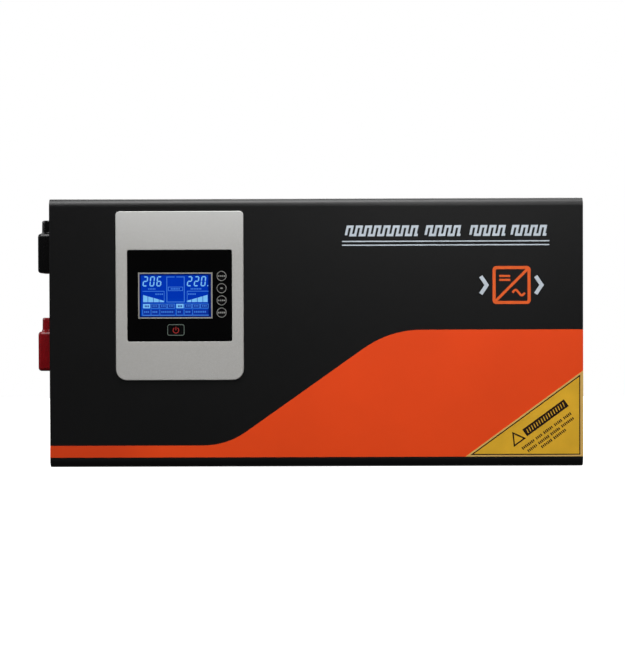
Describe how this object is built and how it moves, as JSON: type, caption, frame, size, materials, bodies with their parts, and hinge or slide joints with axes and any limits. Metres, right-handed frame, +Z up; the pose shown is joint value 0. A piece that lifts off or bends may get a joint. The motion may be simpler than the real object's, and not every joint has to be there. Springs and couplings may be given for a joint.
{
  "type": "power inverter",
  "caption": "Wall-hung power inverter: flat black steel case with an orange band, display panel with keys, cooled end panel with booted battery studs, and an AC terminal block.",
  "frame": {"origin": "centre of the case's flat underside, midway along its width and its depth", "axes": "+X to the right of the display face, +Y from the display face to the wall, +Z up"},
  "size_m": [0.4654, 0.1815, 0.2197],
  "materials": {
    "case_black": "fine satin powder coat",
    "panel_black": "fine textured powder coat",
    "screw_black": "black oxide, satin",
    "orange_film": "satin printed film",
    "yellow_film": "satin printed film",
    "silver_paint": "fine metallic silver paint over moulded plastic, satin",
    "lens_black": "polished black acrylic",
    "lcd_frame_grey": "satin grey",
    "lcd_blue": "backlit blue display",
    "white_plastic": "satin diffuser",
    "circuit_board": "solder mask",
    "key_black": "satin black moulding",
    "black_plastic": "moulded black",
    "white_print": "printed pale grey",
    "orange_print": "printed orange",
    "guard_chrome": "bright plated wire",
    "zinc_steel": "bright zinc plate",
    "brass": "machined",
    "copper": "tinned copper bar",
    "red_plastic": "moulded dark red",
    "boot_black": "soft vinyl, satin",
    "boot_red": "soft vinyl, satin",
    "capacitor_sleeve": "shrink sleeve",
    "aluminium": "extruded, satin",
    "winding_tape": "wound polyester tape",
    "rubber_black": "matt",
    "lead_red": "insulated lead",
    "ribbon_grey": "flat cable",
    "smoked_flap": "smoked moulding, satin",
    "button_ivory": "moulded ivory"
  },
  "bodies": {
    "case": {"front_cover": "case_black", "rear_plate": "panel_black", "dc_end_panel": "panel_black", "ac_end_panel": "panel_black", "cover_screws": "screw_black", "orange_decal": "orange_film", "warning_label": "yellow_film", "display_bezel": "silver_paint", "bezel_screws": "zinc_steel", "display_lens": "lens_black", "lcd_frame": "lcd_frame_grey", "lcd_glass": "lcd_blue", "lcd_backlight": "white_plastic", "display_board": "circuit_board", "tact_switches": "black_plastic", "fan_frame_upper": "black_plastic", "fan_frame_lower": "black_plastic", "fan_guard_upper": "guard_chrome", "fan_guard_lower": "guard_chrome", "fan_screws": "zinc_steel", "terminal_base_negative": "black_plastic", "terminal_base_positive": "red_plastic", "terminal_studs": "brass", "terminal_nuts": "zinc_steel", "ground_terminal": "brass", "busbar_negative": "copper", "busbar_positive": "copper", "power_board": "circuit_board", "dc_capacitors": "capacitor_sleeve", "relays": "black_plastic", "mosfets": "black_plastic", "heatsink_upper": "aluminium", "heatsink_lower": "aluminium", "mounting_posts": "brass", "toroidal_transformer": "winding_tape", "transformer_clamp": "zinc_steel", "transformer_pads": "rubber_black", "transformer_leads": "lead_red", "control_bracket": "zinc_steel", "control_board": "circuit_board", "filter_parts": "winding_tape", "ribbon_cable": "ribbon_grey", "ac_terminal_block": "black_plastic", "ac_terminal_screws": "brass", "ac_flap_pin": "zinc_steel", "breaker_body": "black_plastic", "data_ports": "black_plastic", "selector_body": "black_plastic"},
    "menu_key": {"menu_key": "key_black"},
    "up_key": {"up_key": "key_black"},
    "down_key": {"down_key": "key_black"},
    "enter_key": {"enter_key": "key_black"},
    "power_key": {"power_key": "key_black"},
    "upper_fan": {"fan_rotor_upper": "black_plastic"},
    "lower_fan": {"fan_rotor_lower": "black_plastic"},
    "negative_boot": {"terminal_boot_negative": "boot_black"},
    "positive_boot": {"terminal_boot_positive": "boot_red"},
    "terminal_flap": {"ac_flap": "smoked_flap"},
    "reset_button": {"breaker_button": "button_ivory"},
    "selector": {"selector_knob": "button_ivory"}
  },
  "joints": [
    {"name": "menu_key_press", "type": "slide", "parent": "case", "child": "menu_key", "axis": [0, 1, 0], "range_m": [0, 0.0005], "stiffness_N_per_m": 2000},
    {"name": "up_key_press", "type": "slide", "parent": "case", "child": "up_key", "axis": [0, 1, 0], "range_m": [0, 0.0005], "stiffness_N_per_m": 2000},
    {"name": "down_key_press", "type": "slide", "parent": "case", "child": "down_key", "axis": [0, 1, 0], "range_m": [0, 0.0005], "stiffness_N_per_m": 2000},
    {"name": "enter_key_press", "type": "slide", "parent": "case", "child": "enter_key", "axis": [0, 1, 0], "range_m": [0, 0.0005], "stiffness_N_per_m": 2000},
    {"name": "power_key_press", "type": "slide", "parent": "case", "child": "power_key", "axis": [0, 1, 0], "range_m": [0, 0.0005], "stiffness_N_per_m": 2000},
    {"name": "upper_fan_spin", "type": "hinge", "parent": "case", "child": "upper_fan", "pos_m": [-0.21, 0.038, 0.158], "axis": [1, 0, 0], "continuous": true},
    {"name": "lower_fan_spin", "type": "hinge", "parent": "case", "child": "lower_fan", "pos_m": [-0.21, 0.038, 0.06], "axis": [1, 0, 0], "continuous": true},
    {"name": "negative_boot_pull", "type": "slide", "parent": "case", "child": "negative_boot", "axis": [-1, 0, 0], "range_m": [0, 0.03]},
    {"name": "positive_boot_pull", "type": "slide", "parent": "case", "child": "positive_boot", "axis": [-1, 0, 0], "range_m": [0, 0.03]},
    {"name": "terminal_flap_hinge", "type": "hinge", "parent": "case", "child": "terminal_flap", "pos_m": [0.226, 0.0549, 0.10985], "axis": [0, 0, 1], "range_deg": [0, 150]},
    {"name": "reset_button_press", "type": "slide", "parent": "case", "child": "reset_button", "axis": [-1, 0, 0], "range_m": [0, 0.002], "stiffness_N_per_m": 800},
    {"name": "selector_turn", "type": "hinge", "parent": "case", "child": "selector", "pos_m": [0.21, -0.0345, 0.084], "axis": [1, 0, 0], "range_deg": [0, 270]}
  ]
}
